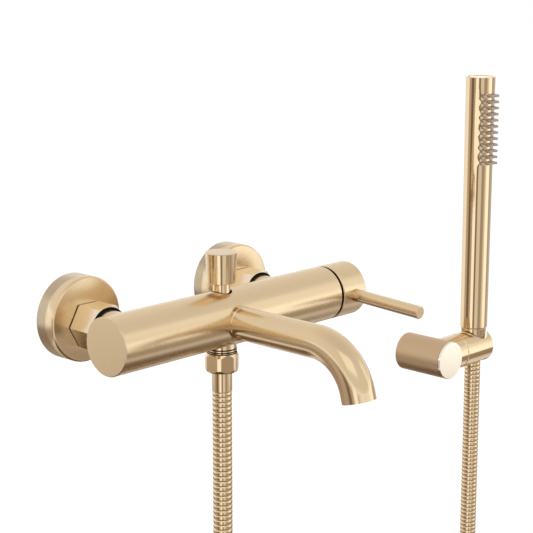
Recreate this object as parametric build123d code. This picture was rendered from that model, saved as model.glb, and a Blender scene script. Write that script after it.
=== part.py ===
from build123d import *
from math import cos, pi, radians, sin, sqrt, tan
import os

# Wall-mounted bath shower mixer with a hand shower on a swivelling bracket, in millimetres.
# The origin is on the finished wall, midway between the two water supplies and at their height.
# +X is to the right for someone who faces the wall, +Y goes into the wall and +Z is up.
# "Out" means the distance from the wall towards the room.

# Clearances and cuts
running_gap = 0.05      # shaft in a hole, on the radius
seat_gap = 0.1          # fixed pieces that fit into each other
sliding_gap = 0.3       # pieces that pass each other freely
overrun = 3.0           # how far a cut goes past the surface that it opens
bevel = 0.5             # small broken edge of a turned piece

# Bar
inlet_centres = 150.0
bar_out = 75.0
bar_drop = 3.0
bar_radius = 20.2
bar_left = 107.0
bar_right = 106.5
boss_radius = 13.5
boss_out = 40.0

# Wall unions
wall_thread_radius = 10.48
wall_thread_depth = 14.0
wall_bore_radius = 6.5
thread_relief_radius = 9.4
thread_relief_length = 1.5
crank_collar_radius = 12.0
union_thread_radius = 13.2
union_bore_radius = 8.0
crank_start = 6.0
crank_end = 9.0
crank_wall = 1.0
union_out = 28.0
washer_thickness = 2.0
tail_flange = 3.0
tail_flange_radius = 12.9
tail_radius = 9.3
tail_bore_radius = 7.0
tail_end_out = 55.0
union_nut_across = 30.0
union_nut_back = 20.0
union_nut_collar = 5.5
union_nut_mouth = 2.0
union_nut_mouth_radius = 14.3
union_nut_front_radius = 15.6
union_nut_bevel = 1.4
check_valve_start = 36.0
check_valve_length = 12.0
check_valve_wall = 1.8
check_valve_stem_radius = 1.2
check_poppet_thickness = 2.0
check_spider_width = 1.6
rosette_radius = 30.3
rosette_depth = 18.0
rosette_wall = 1.5
rosette_round = 3.0

# Water ways inside the bar
hot_chamber_radius = 15.0
hot_chamber_start = 92.0
hot_chamber_end = 14.0
inlet_way_radius = 7.0
inlet_way_length = 13.0
side_channel_place = 12.4
side_channel_radius = 2.4
side_channel_angle = 38.0
cold_feed_radius = 2.2
mixed_channel_radius = 5.0
spout_port_radius = 4.5

# Cartridge, with places along the bar's axis
bar_wall = 2.45
cartridge_depth = 24.5
cartridge_gap = 0.25
housing_wall = 1.3
housing_base = 3.0
housing_top = 3.0
housing_recess = 2.5
fixed_disc_gap = 0.4
disc_thickness = 3.4
disc_port_place = 11.5
disc_port_radius = 2.0
moving_disc_radius = 14.2
moving_disc_shift = 0.9
mixing_recess_radius = 9.8
mixing_recess_depth = 1.6
carrier_thickness = 3.4
carrier_radius = 13.5
carrier_half_width = 9.5
ball_radius = 2.4
ball_gap = 0.15
ball_neck_radius = 1.9
rotor_radius = 14.8
rotor_thickness = 4.7
rotor_neck_radius = 10.9
rotor_recess = 0.5
lug_height = 3.0
lug_half_length = 4.0
lug_reach = 3.5
pivot_depth = 4.5
pivot_radius = 1.5
pivot_half_length = 9.8
stem_width = 8.0
stem_depth = 9.5
stem_reach = 20.5
stem_slot_half_length = 6.6
retaining_ring_step = 0.35
retaining_ring_bore = 12.5
retaining_ring_thickness = 2.2

# Handle
handle_gap = 2.4
handle_length = 24.6
handle_wall = 2.7
handle_end_wall = 4.0
handle_hub_radius = 8.0
handle_hub_gap = 1.5
handle_relief_start = 4.0
handle_relief_angle = 20.0
lever_offset = 15.5
lever_radius = 4.7
lever_stub_radius = 2.5
lever_stub_length = 3.4
lever_slope = 0.05
lever_reach = 81.3
handle_screw_radius = 2.0
handle_screw_length = 4.4
handle_screw_offset = 12.5

# Diverter
knob_reach = 27.8
knob_height = 22.0
knob_top_radius = 11.4
knob_bottom_radius = 10.1
knob_neck_radius = 6.2
knob_neck_depth = 5.2
knob_socket_depth = 6.0
diverter_stem_radius = 3.0
diverter_hole_radius = 7.5
diverter_ledge_depth = 11.2
diverter_bore_radius = 6.8
guide_thickness = 5.0
valve_bottom = 15.9
valve_length = 5.0
valve_gap = 0.2
valve_groove = 1.2
valve_seat = 16.0
valve_seat_radius = 5.4
diverter_spring_radius = 4.6
diverter_wire_radius = 0.5
diverter_spring_turns = 5

# Spout
spout_radius = 11.6
spout_wall = 1.8
spout_socket_out = 88.0
spout_straight_out = 164.6
spout_bend_radius = 38.0
spout_turn = 75.0
spout_end_straight = 5.8
spout_collar_radius = 12.1
spout_collar_length = 1.2
spout_seal_thickness = 1.5
spout_seal_wall = 2.0
aerator_recess = 1.0
aerator_length = 5.4
aerator_wall = 1.3
aerator_insert_length = 3.6
aerator_hole_radius = 1.0
aerator_ring_radii_shares = (0.38, 0.76)
aerator_ring_counts = (6, 12)

# Shower outlet under the bar
outlet_radius = 10.45
outlet_bore_radius = 5.4
outlet_thread_length = 6.2
outlet_reach = 5.3
outlet_groove_count = 2
outlet_groove_pitch = 1.8
outlet_groove_width = 0.9
outlet_groove_depth = 1.6
outlet_groove_start = 0.6
outlet_washer_thickness = 1.5
outlet_washer_radius = 10.2
hose_nut_across = 22.4
hose_nut_turn = 24.0
hose_nut_overlap = 1.0
hose_nut_length = 13.5
hose_nut_corner_radius = 12.1
hose_nut_end_radius = 10.9
hose_nut_end_bevel = 2.2
ferrule_flange = 1.5
ferrule_neck_radius = 6.2
ferrule_radius = 7.2
ferrule_length = 15.0
ferrule_round = 0.6

# Hose
hose_radius = 7.0
hose_bore_radius = 4.2
rib_pitch = 3.7
rib_valley = 0.75
rib_rise_share = 0.2
rib_crest_share = 0.62
mixer_leg_ribs = 30
handset_leg_ribs = 45
hose_straight_bottom = 280.0
hose_sway_drop = 148.0
coil_radius = 74.0
coil_half_turns = 3
coil_y_start = -61.6
coil_y_step = 15.6
tie_wall = 1.2
tie_width = 8.0
tie_gap = 0.5

# Wall bracket
bracket_x = 304.2
bracket_z = -101.7
post_radius = 16.25
post_out = 46.1
post_cap_thickness = 2.3
post_cap_spigot = 4.0
post_cap_spigot_radius = 6.0
post_cap_groove_width = 0.4
post_cap_groove_depth = 1.2
post_cavity = 12.0
plate_radius = 13.0
plate_thickness = 7.0
plate_hole_radius = 2.5
plate_sink_radius = 5.0
plate_sink_depth = 2.5
bracket_grub_radius = 1.6
bracket_grub_out = 4.0
arm_out = 32.5
arm_radius = 15.0
arm_end = 330.6
arm_spigot_radius = 8.0
friction_washer_thickness = 0.5
friction_washer_radius = 14.4
holder_end = 367.7
holder_slot = 15.0
holder_mouth_radius = 12.2
holder_mouth_depth = 10.0
holder_mouth_taper = 2.5
swivel_bolt_radius = 4.0
swivel_bolt_start = 312.0
swivel_head_radius = 6.0
swivel_head = 3.5
swivel_head_place = 339.7

# Hand shower
wand_x = 357.4
wand_top = 138.6
wand_bottom = -83.3
wand_top_radius = 12.6
wand_bottom_radius = 11.9
wand_wall = 1.6
wand_cap_thickness = 3.0
cone_top_radius = 11.0
cone_seam = 0.4
cone_length = 28.3
cone_angle = 3.0
cone_gap = 0.15
cone_thread_radius = 9.0
cone_thread_depth = 14.5
cone_bore_radius = 5.0
cone_washer_thickness = 2.0
nipple_length = 11.5
nipple_top = 10.0
nipple_bore_radius = 5.0
liner_radius = 9.2
liner_wall = 1.0
liner_strip_gap = 3.0
restrictor_thickness = 4.0
restrictor_bore_radius = 2.5
strip_margin = 6.5
strip_radius = 10.0
strip_thickness = 1.4
strip_half_angle = 42.0
nozzle_rows = 12
nozzle_first = 64.5
nozzle_pitch = 5.3
nozzle_angles = (-26.0, 0.0, 26.0)
wand_turn = -14.0
nozzle_base_radius = 1.6
nozzle_tip_radius = 0.95
nozzle_tip_place = 17.4
nozzle_hole_radius = 1.8

# Places worked out from the sizes above
bar_y = -bar_out
bar_z = -bar_drop
bar_top = bar_radius - bar_drop
bar_bottom = bar_radius + bar_drop
supply_x = inlet_centres / 2
union_nut_front = union_out + washer_thickness + tail_flange + union_nut_collar + union_nut_mouth
cartridge_seat = bar_right - cartridge_depth
cartridge_bore_radius = bar_radius - bar_wall
housing_radius = cartridge_bore_radius - cartridge_gap
housing_inner_radius = housing_radius - housing_wall
housing_end = bar_right - housing_recess
retaining_ring_radius = cartridge_bore_radius + retaining_ring_step
fixed_disc_radius = housing_inner_radius - fixed_disc_gap
rotor_neck_end = bar_right - rotor_recess
pivot_place = bar_right - pivot_depth
stem_start = bar_right - stem_depth
stem_end = bar_right + stem_reach
lever_place = bar_right + lever_offset
handle_screw_place = bar_right + handle_screw_offset
fixed_disc_start = cartridge_seat + housing_base
moving_disc_start = fixed_disc_start + disc_thickness + seat_gap
carrier_start = moving_disc_start + disc_thickness
ball_place = carrier_start + carrier_thickness / 2
rotor_start = carrier_start + carrier_thickness + sliding_gap
handle_start = bar_right + handle_gap
handle_end = handle_start + handle_length
handle_hub_start = handle_start + handle_hub_gap
knob_top = bar_top + knob_reach
knob_bottom = knob_top - knob_height
knob_neck_bottom = bar_top - knob_neck_depth
diverter_ledge = bar_top - diverter_ledge_depth
outlet_seat = bar_bottom - outlet_thread_length
outlet_bottom = bar_bottom + outlet_reach
hose_nut_top = outlet_bottom - hose_nut_overlap
hose_nut_bottom = hose_nut_top + hose_nut_length
ferrule_bottom = hose_nut_bottom + ferrule_length
washer_bottom = outlet_bottom + outlet_washer_thickness
hose_neck_top = washer_bottom + ferrule_flange
coil_entry = hose_straight_bottom + hose_sway_drop
coil_z = -(coil_entry + 2 * hose_radius)
coil_x = wand_x / 2
arm_y = -arm_out
holder_start = arm_end + friction_washer_thickness + seat_gap
cone_top = wand_bottom - cone_seam
cone_bottom = cone_top - cone_length
cone_bottom_radius = cone_top_radius - cone_length * tan(radians(cone_angle))
side_y = -side_channel_place * cos(radians(side_channel_angle))
side_z = side_channel_place * sin(radians(side_channel_angle))
strip_bottom = nozzle_first - strip_margin
strip_top = nozzle_first + (nozzle_rows - 1) * nozzle_pitch + strip_margin
liner_top = strip_bottom - liner_strip_gap


def facing_out(x, z):
    """Plane on the wall that faces the room; its heights are distances out."""
    return Plane(origin=(x, 0, z), x_dir=(1, 0, 0), z_dir=(0, -1, 0))


def facing_right(y, z):
    """Plane at x = 0 that faces right; its heights are places along X."""
    return Plane(origin=(0, y, z), x_dir=(0, 1, 0), z_dir=(1, 0, 0))


def facing_up(x, y):
    """Plane at the supplies' height that faces up; its heights are heights."""
    return Plane(origin=(x, y, 0), x_dir=(1, 0, 0), z_dir=(0, 0, 1))


def facing_down(x, y):
    """Plane at the supplies' height that faces down; its heights are depths."""
    return Plane(origin=(x, y, 0), x_dir=(1, 0, 0), z_dir=(0, 0, -1))


bar_line = facing_right(bar_y, bar_z)
bar_up = facing_up(0, bar_y)
bar_down = facing_down(0, bar_y)
spout_line = facing_out(0, bar_z)
post_line = facing_out(bracket_x, bracket_z)
arm_line = facing_right(arm_y, bracket_z)
wand_up = facing_up(wand_x, arm_y)
wand_down = facing_down(wand_x, arm_y)
lever_line = Plane(origin=(lever_place, bar_y, bar_z), x_dir=(1, 0, 0), z_dir=(0, -1, -lever_slope))


def turned(where, outline, rounds=()):
    """Turn an outline of (radius, height) points about the plane's normal.

    rounds lists outline points to round off, each with its radius.
    """
    face = make_face(Plane.XZ * Polyline(*outline, close=True)).face()
    for (across, up), radius in rounds:
        corner = face.vertices().sort_by_distance((across, 0, up))[0]
        face = face.fillet_2d(radius, [corner])
    return where * Part(revolve(face, Axis.Z).wrapped)


def tube(where, outer, inner, start, end):
    """Plain ring or rod between two heights."""
    return turned(where, [(inner, start), (outer, start), (outer, end), (inner, end)])


def rod(where, radius, start, end):
    """Plain round rod between two heights."""
    return tube(where, radius, 0, start, end)


def hexagon(where, across, start, end, turn=0):
    """Six-sided prism between two heights, its corners turned from the plane's x axis."""
    flat = where.offset(start) * RegularPolygon(across / 2, 6, major_radius=False, rotation=turn)
    return extrude(flat, end - start)


def block(low, high):
    """Box between two opposite corners."""
    size = [b - a for a, b in zip(low, high)]
    centre = [(a + b) / 2 for a, b in zip(low, high)]
    return Pos(*centre) * Box(*size)


def both_sides(make):
    """The same piece at the left and the right supply."""
    return make(-supply_x) + make(supply_x)


# Wall unions

def eccentric(x):
    """Hollow cranked union: wall thread and its relief at the supply, union thread on the bar's height."""
    back, front = facing_out(x, 0), facing_out(x, bar_z)
    solid = rod(back, wall_thread_radius, -wall_thread_depth, 0)
    solid += rod(back, thread_relief_radius, -wall_thread_depth, crank_end)
    solid += rod(back, crank_collar_radius, thread_relief_length, crank_end)
    solid += rod(front, union_thread_radius, crank_start, union_out)
    solid -= rod(back, wall_bore_radius, -wall_thread_depth - overrun, crank_end)
    return solid - rod(front, union_bore_radius, crank_start + crank_wall, union_out + overrun)


def rosette(x):
    """Drawn cup that hides the crank, open to the wall, with an offset hole in its front."""
    inner = rosette_radius - rosette_wall
    floor = rosette_depth - rosette_wall
    corner = (rosette_radius, rosette_depth)
    outline = [(inner, 0), (rosette_radius, 0), corner, (0, rosette_depth), (0, floor), (inner, floor)]
    cup = turned(facing_out(x, 0), outline, [(corner, rosette_round)])
    hole = union_thread_radius + sliding_gap
    return cup - rod(facing_out(x, bar_z), hole, floor - overrun, rosette_depth + overrun)


def union_nut(x):
    """Hexagonal union nut that draws the tail's flange against the crank."""
    line = facing_out(x, bar_z)
    corner = union_nut_across / sqrt(3)
    front, back = union_nut_front, union_nut_back
    envelope = [(0, back), (corner - bevel, back), (corner, back + bevel), (corner, front - union_nut_bevel),
                (union_nut_front_radius, front), (0, front)]
    collar = front - union_nut_mouth - union_nut_collar
    nut = hexagon(line, union_nut_across, back, front) & turned(line, envelope)
    nut -= rod(line, union_thread_radius + seat_gap, back - overrun, collar)
    nut -= rod(line, tail_radius + sliding_gap, collar - overrun, front)
    return nut - rod(line, union_nut_mouth_radius, front - union_nut_mouth, front + overrun)


def inlet_tail(x):
    """Flanged tail that runs from the union into the bar's boss."""
    start = union_out + washer_thickness
    end = start + tail_flange
    outline = [(tail_bore_radius, start), (tail_flange_radius, start), (tail_flange_radius, end),
               (tail_radius, end), (tail_radius, tail_end_out), (tail_bore_radius, tail_end_out)]
    return turned(facing_out(x, bar_z), outline)


def union_washer(x):
    return tube(facing_out(x, bar_z), tail_flange_radius, union_bore_radius,
                union_out, union_out + washer_thickness)


def check_valve(x):
    """Cage with a spider and a poppet that lets water pass one way."""
    line = facing_out(x, bar_z)
    outer = tail_bore_radius - seat_gap
    inner = outer - check_valve_wall
    end = check_valve_start + check_valve_length
    spider_end = check_valve_start + check_spider_width
    half = check_spider_width / 2
    cage = tube(line, outer, inner, check_valve_start, end)
    reach = outer - check_valve_wall / 2
    cage += block((x - reach, -spider_end, bar_z - half), (x + reach, -check_valve_start, bar_z + half))
    cage += block((x - half, -spider_end, bar_z - reach), (x + half, -check_valve_start, bar_z + reach))
    poppet_start = end - 2 * check_poppet_thickness
    cage += rod(line, check_valve_stem_radius, check_valve_start, poppet_start)
    return cage + rod(line, inner - sliding_gap, poppet_start, poppet_start + check_poppet_thickness)


# Bar

def side_channel(sign, start):
    """Supply channel to the cartridge's seat, above the axis for hot and below it for cold."""
    line = facing_right(bar_y + side_y, bar_z + sign * side_z)
    return rod(line, side_channel_radius, start, cartridge_seat + overrun)


def mixer_body():
    """Solid bar with two bosses, bored for the unions, cartridge, diverter, spout and outlet."""
    inner = bar_radius - bevel
    outline = [(0, -bar_left), (inner, -bar_left), (bar_radius, -bar_left + bevel),
               (bar_radius, bar_right - bevel), (inner, bar_right), (0, bar_right)]
    bar = turned(bar_line, outline)
    bar += both_sides(lambda x: rod(facing_out(x, bar_z), boss_radius, boss_out, bar_out))
    bar -= both_sides(lambda x: rod(facing_out(x, bar_z), tail_radius + running_gap,
                                    boss_out - overrun, tail_end_out))
    # Hot water: left boss, chamber, upper side channel
    bar -= rod(facing_out(-supply_x, bar_z), inlet_way_radius, tail_end_out - overrun,
               tail_end_out + inlet_way_length)
    bar -= rod(bar_line, hot_chamber_radius, -hot_chamber_start, -hot_chamber_end)
    bar -= side_channel(1, -hot_chamber_end - overrun)
    # Cold water: right boss, cross feed, lower side channel
    bar -= rod(facing_out(supply_x, bar_z - side_z), cold_feed_radius, tail_end_out - overrun,
               bar_out - side_y)
    bar -= side_channel(-1, supply_x)
    # Mixed water, from the cartridge back to the diverter and out to the spout
    bar -= rod(bar_line, mixed_channel_radius, 0, cartridge_seat + overrun)
    bar -= rod(spout_line, spout_port_radius, bar_out, spout_socket_out)
    # Seats for the cartridge, the diverter, the spout and the outlet
    ring_start = housing_end - seat_gap
    bar -= rod(bar_line, cartridge_bore_radius, cartridge_seat, bar_right + overrun)
    bar -= rod(bar_line, retaining_ring_radius + running_gap, ring_start, bar_right + overrun)
    bar -= rod(bar_up, valve_seat_radius, -outlet_seat - overrun, -valve_seat + overrun)
    bar -= rod(bar_up, diverter_bore_radius, -valve_seat, diverter_ledge)
    bar -= rod(bar_up, diverter_hole_radius, diverter_ledge, bar_radius + overrun)
    bar -= rod(bar_down, outlet_radius + running_gap, outlet_seat, bar_bottom + overrun)
    return bar - rod(spout_line, spout_radius + running_gap, spout_socket_out - spout_seal_thickness,
                     bar_out + bar_radius + overrun)


# Cartridge

def port(place, radius, sign, start, end):
    """Port at a distance from the axis on the room's side, above or below it."""
    angle = radians(side_channel_angle)
    line = facing_right(bar_y - place * cos(angle), bar_z + sign * place * sin(angle))
    return rod(line, radius, start - overrun, end + overrun)


def cartridge_housing():
    """Cup with two supply ports and one outlet in its base and a hole in its top."""
    top = housing_end - housing_top
    hole = rotor_neck_radius + seat_gap
    floor = cartridge_seat + housing_base
    outline = [(0, cartridge_seat), (housing_radius, cartridge_seat), (housing_radius, housing_end),
               (hole, housing_end), (hole, top), (housing_inner_radius, top),
               (housing_inner_radius, floor), (0, floor)]
    cup = turned(bar_line, outline)
    cup -= rod(bar_line, mixed_channel_radius, cartridge_seat - overrun, floor + overrun)
    for sign in (1, -1):
        cup -= port(side_channel_place, side_channel_radius, sign, cartridge_seat, floor)
    return cup


def disc_fixed():
    """Ceramic disc with the two supply ports and the mixed outlet."""
    end = fixed_disc_start + disc_thickness
    disc = tube(bar_line, fixed_disc_radius, mixed_channel_radius, fixed_disc_start, end)
    for sign in (1, -1):
        disc -= port(disc_port_place, disc_port_radius, sign, fixed_disc_start, end)
    return disc


def disc_moving():
    """Ceramic disc with the recess that joins the ports when it slides."""
    line = facing_right(bar_y + moving_disc_shift, bar_z)
    recess_end = moving_disc_start + mixing_recess_depth
    disc = rod(line, moving_disc_radius, moving_disc_start, moving_disc_start + disc_thickness)
    return disc - rod(line, mixing_recess_radius, moving_disc_start - overrun, recess_end)


def disc_carrier():
    """Carrier on the moving disc, with two flats for its guide and a hole for the stem's ball."""
    line = facing_right(bar_y + moving_disc_shift, bar_z)
    end = carrier_start + carrier_thickness
    low = (carrier_start, bar_y - 2 * carrier_radius, bar_z - carrier_half_width)
    high = (end, bar_y + 2 * carrier_radius, bar_z + carrier_half_width)
    carrier = rod(line, carrier_radius, carrier_start, end) & block(low, high)
    return carrier - rod(bar_line, ball_radius + ball_gap, carrier_start - overrun, end + overrun)


def cartridge_rotor():
    """Turning part that carries the stem's pivot and guides the disc's carrier."""
    end = rotor_start + rotor_thickness
    outline = [(0, rotor_start), (rotor_radius, rotor_start), (rotor_radius, end), (rotor_neck_radius, end),
               (rotor_neck_radius, rotor_neck_end), (0, rotor_neck_end)]
    rotor = turned(bar_line, outline)
    inner = carrier_half_width + seat_gap
    for sign in (1, -1):
        near, far = sorted((bar_z + sign * inner, bar_z + sign * (inner + lug_height)))
        low = (rotor_start - lug_reach, bar_y - lug_half_length, near)
        high = (rotor_start + bevel, bar_y + lug_half_length, far)
        rotor += block(low, high)
    half_width = stem_width / 2 + seat_gap
    low = (rotor_start - overrun, bar_y - stem_slot_half_length, bar_z - half_width)
    high = (rotor_neck_end + overrun, bar_y + stem_slot_half_length, bar_z + half_width)
    rotor -= block(low, high)
    return rotor - rod(facing_up(pivot_place, bar_y), pivot_radius, bar_z - rotor_radius, bar_z + rotor_radius)


def stem_pin():
    return rod(facing_up(pivot_place, bar_y), pivot_radius, bar_z - pivot_half_length, bar_z + pivot_half_length)


def cartridge_stem():
    """Square stem on the pivot, with a ball at its inner end that pushes the carrier."""
    half = stem_width / 2
    stem = block((stem_start, bar_y - half, bar_z - half), (stem_end, bar_y + half, bar_z + half))
    stem += rod(bar_line, ball_neck_radius, ball_place, stem_start)
    stem += Pos(ball_place, bar_y, bar_z) * Sphere(ball_radius)
    hole = pivot_radius + running_gap
    return stem - rod(facing_up(pivot_place, bar_y), hole, bar_z - stem_width, bar_z + stem_width)


def cartridge_nut():
    """Threaded ring that holds the cartridge down."""
    end = housing_end + retaining_ring_thickness
    return tube(bar_line, retaining_ring_radius, retaining_ring_bore, housing_end, end)


# Handle

def handle_cap():
    """Hollow cap with a hub on the stem; its wall side is relieved so that it can tip."""
    inner = bar_radius - handle_wall
    floor = handle_end - handle_end_wall
    outer = (bar_radius, handle_end)
    outline = [(0, handle_hub_start), (handle_hub_radius, handle_hub_start), (handle_hub_radius, floor),
               (inner, floor), (inner, handle_start), (bar_radius - bevel, handle_start),
               (bar_radius, handle_start + bevel), outer, (0, handle_end)]
    cap = turned(bar_line, outline, [(outer, bevel)])
    half = stem_width / 2 + running_gap
    cap -= block((handle_hub_start - overrun, bar_y - half, bar_z - half),
                 (stem_end + seat_gap, bar_y + half, bar_z + half))
    # Wedge off the rim on the wall's side
    reach = bar_radius + overrun
    rise = (reach - handle_relief_start) * tan(radians(handle_relief_angle))
    wedge = Polyline((handle_start, bar_y + handle_relief_start), (handle_start + rise, bar_y + reach),
                     (handle_start - overrun, bar_y + reach), (handle_start - overrun, bar_y), close=True)
    flat = Plane(origin=(0, 0, bar_z - reach)) * make_face(wedge)
    cap -= extrude(flat, 2 * reach)
    # Holes for the lever and for the screw that clamps the stem
    cap -= rod(lever_line, lever_radius + running_gap, handle_hub_radius, reach)
    cap -= rod(lever_line, lever_stub_radius, half, reach)
    screw_line = facing_down(handle_screw_place, bar_y)
    return cap - rod(screw_line, handle_screw_radius, bar_drop + half, bar_drop + reach)


def lever_rod():
    """Straight lever with a threaded stub in the hub."""
    shoulder = handle_hub_radius
    start = shoulder - lever_stub_length
    tip = (lever_radius, lever_reach)
    outline = [(0, start), (lever_stub_radius, start), (lever_stub_radius, shoulder),
               (lever_radius, shoulder), tip, (0, lever_reach)]
    return turned(lever_line, outline, [(tip, bevel)])


def lever_grub_screw():
    start = bar_drop + stem_width / 2
    return rod(facing_down(handle_screw_place, bar_y), handle_screw_radius, start, start + handle_screw_length)


# Diverter

def diverter_knob():
    """Slightly flared knob on a slim neck that reaches down into the bar."""
    socket = knob_neck_bottom + knob_socket_depth
    outline = [(0, socket), (diverter_stem_radius, socket), (diverter_stem_radius, knob_neck_bottom),
               (knob_neck_radius, knob_neck_bottom), (knob_neck_radius, knob_bottom),
               (knob_bottom_radius - bevel, knob_bottom), (knob_bottom_radius, knob_bottom + bevel),
               (knob_top_radius, knob_top - bevel), (knob_top_radius - bevel, knob_top), (0, knob_top)]
    return turned(bar_up, outline)


def diverter_stem():
    return rod(bar_up, diverter_stem_radius, -valve_bottom, knob_neck_bottom + knob_socket_depth)


def diverter_guide():
    """Bush on the ledge that guides the stem and closes the diverter's bore."""
    return tube(bar_up, diverter_hole_radius - running_gap, diverter_stem_radius + running_gap,
                diverter_ledge, diverter_ledge + guide_thickness)


def diverter_valve():
    """Spool with a groove round its middle."""
    outer = diverter_bore_radius - valve_gap
    low = -valve_bottom
    top = low + valve_length
    middle = (low + top) / 2
    half = valve_groove / 2
    outline = [(diverter_stem_radius, low), (outer, low), (outer, middle - half),
               (outer - valve_groove, middle - half), (outer - valve_groove, middle + half),
               (outer, middle + half), (outer, top), (diverter_stem_radius, top)]
    return turned(bar_up, outline)


def biarc(start, start_way, end, end_way):
    """Two arcs that meet smoothly between two places with given directions."""
    across = end - start
    ways = start_way + end_way
    square = ways.dot(ways) - 4
    half = across.dot(ways)
    reach = across.dot(across) / (2 * half)
    if abs(square) > 0:
        reach = (half - sqrt(half ** 2 - square * across.dot(across))) / square
    near = start + start_way * reach
    far = end - end_way * reach
    joint = (near + far) / 2
    return [TangentArc(start, joint, tangent=start_way), TangentArc(joint, end, tangent=far - near)]


def coil_path(middle, radius, step, half_turns, up_axis):
    """Biarcs, a half turn at a time, round `middle`, that climb by `step` a turn along `up_axis`.

    Both ends lie at right angles to the climb, so that straight runs can follow them.
    Returns the arcs.
    """
    side, forward, climb = up_axis
    arcs = []
    slope = step / (2 * pi * radius)
    for i in range(half_turns):
        start = middle + side * radius * (-1) ** i + climb * (step * i / 2)
        end = middle - side * radius * (-1) ** i + climb * (step * (i + 1) / 2)
        start_slope = slope if i > 0 else 0
        end_slope = slope if i + 1 < half_turns else 0
        start_way = (forward * (-1) ** i + climb * start_slope).normalized()
        end_way = (climb * end_slope - forward * (-1) ** i).normalized()
        arcs += biarc(start, start_way, end, end_way)
    return arcs


def wire_of(edges):
    """One path through arcs and lines that follow each other."""
    return Wire([edge.edge() for edge in edges])


def swept(profile, edges):
    """Carry a round profile along a path from its start."""
    path = wire_of(edges)
    start = Plane(origin=path @ 0, z_dir=path % 0)
    return Part(sweep(start * profile, path=path).wrapped)


def diverter_spring():
    """Spring between the valve and the guide; its first and last half turns end flat."""
    bottom = -valve_bottom + valve_length + diverter_wire_radius + seat_gap
    top = diverter_ledge - diverter_wire_radius - seat_gap
    axes = (Vector(1, 0, 0), Vector(0, 1, 0), Vector(0, 0, 1))
    step = (top - bottom) / diverter_spring_turns
    arcs = coil_path(Vector(0, bar_y, bottom), diverter_spring_radius, step, 2 * diverter_spring_turns, axes)
    return swept(Circle(diverter_wire_radius), arcs)


# Spout

def spout_points():
    """Start, corner and mouth of the spout's centre line, and its direction at the mouth."""
    turn = radians(spout_turn)
    way = Vector(0, -cos(turn), -sin(turn))
    lead = spout_bend_radius * tan(turn / 2)
    corner = Vector(0, -spout_straight_out - lead, bar_z)
    mouth = corner + way * (lead + spout_end_straight)
    return Vector(0, -spout_socket_out, bar_z), corner, mouth, way


def spout():
    """Bent tube with a low collar that sits on the bar."""
    start, corner, mouth, _ = spout_points()
    path = FilletPolyline(start, corner, mouth, radius=spout_bend_radius)
    ring = Circle(spout_radius) - Circle(spout_radius - spout_wall)
    pipe = sweep(Plane(origin=start, x_dir=(1, 0, 0), z_dir=(0, -1, 0)) * ring, path=path)
    end = bar_out + bar_radius + spout_collar_length
    collar = turned(spout_line, [(spout_radius - bevel, spout_socket_out),
                                 (spout_collar_radius, spout_socket_out), (spout_collar_radius, end - bevel),
                                 (spout_radius, end), (spout_radius - bevel, end)])
    collar -= rod(bar_line, bar_radius, -bar_radius, bar_radius)
    return pipe + collar


def spout_seal():
    end = spout_socket_out
    return tube(spout_line, spout_radius - seat_gap, spout_radius - spout_seal_wall, end - spout_seal_thickness, end)


def mouth_plane():
    """Plane at the spout's mouth that faces back into the spout."""
    _, _, mouth, way = spout_points()
    return Plane(origin=mouth, x_dir=(1, 0, 0), z_dir=-way)


def aerator_housing():
    """Threaded sleeve just inside the mouth."""
    outer = spout_radius - spout_wall - seat_gap
    return tube(mouth_plane(), outer, outer - aerator_wall, aerator_recess, aerator_recess + aerator_length)


def aerator_insert():
    """Flow straightener: a disc with rings of small holes."""
    where = mouth_plane()
    outer = spout_radius - spout_wall - seat_gap - aerator_wall - running_gap
    start = aerator_recess + bevel
    end = start + aerator_insert_length
    insert = rod(where, outer, start, end)
    for share, count in zip(aerator_ring_radii_shares, aerator_ring_counts):
        for place in PolarLocations(outer * share, count):
            insert -= rod(Plane(where.location * place), aerator_hole_radius, start - bevel, end + bevel)
    return insert


# Shower outlet and hose

def outlet_nipple():
    """Nipple under the bar, with thread turns showing above the nut."""
    nipple = tube(bar_down, outlet_radius, outlet_bore_radius, outlet_seat, outlet_bottom)
    for i in range(outlet_groove_count):
        start = bar_bottom + outlet_groove_start + i * outlet_groove_pitch
        nipple -= tube(bar_down, outlet_radius + overrun, outlet_radius - outlet_groove_depth,
                       start, start + outlet_groove_width)
    return nipple


def outlet_washer():
    return tube(bar_down, outlet_washer_radius, outlet_bore_radius, outlet_bottom, washer_bottom)


def hose_nut():
    """Hexagonal hose nut with soft corners, turned in above its collar."""
    outer, end = hose_nut_corner_radius, hose_nut_end_radius
    top, bottom = hose_nut_top, hose_nut_bottom
    envelope = [(0, top), (end, top), (outer, top + hose_nut_end_bevel),
                (outer, bottom - hose_nut_end_bevel), (end, bottom), (0, bottom)]
    nut = hexagon(bar_down, hose_nut_across, top, bottom, hose_nut_turn) & turned(bar_down, envelope)
    nut -= rod(bar_down, outlet_radius + running_gap, top - overrun, hose_neck_top + seat_gap)
    return nut - rod(bar_down, ferrule_neck_radius + seat_gap, top, bottom + overrun)


def hose_ferrule():
    """Flanged hose tail with the sleeve that is pressed onto the hose."""
    sleeve_top = hose_nut_bottom + seat_gap
    upper, lower = (ferrule_radius, sleeve_top), (ferrule_radius, ferrule_bottom)
    outline = [(hose_bore_radius, washer_bottom), (outlet_washer_radius, washer_bottom),
               (outlet_washer_radius, hose_neck_top), (ferrule_neck_radius, hose_neck_top),
               (ferrule_neck_radius, sleeve_top), upper, lower, (hose_bore_radius, ferrule_bottom)]
    return turned(bar_down, outline, [(upper, ferrule_round), (lower, ferrule_round)])


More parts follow.
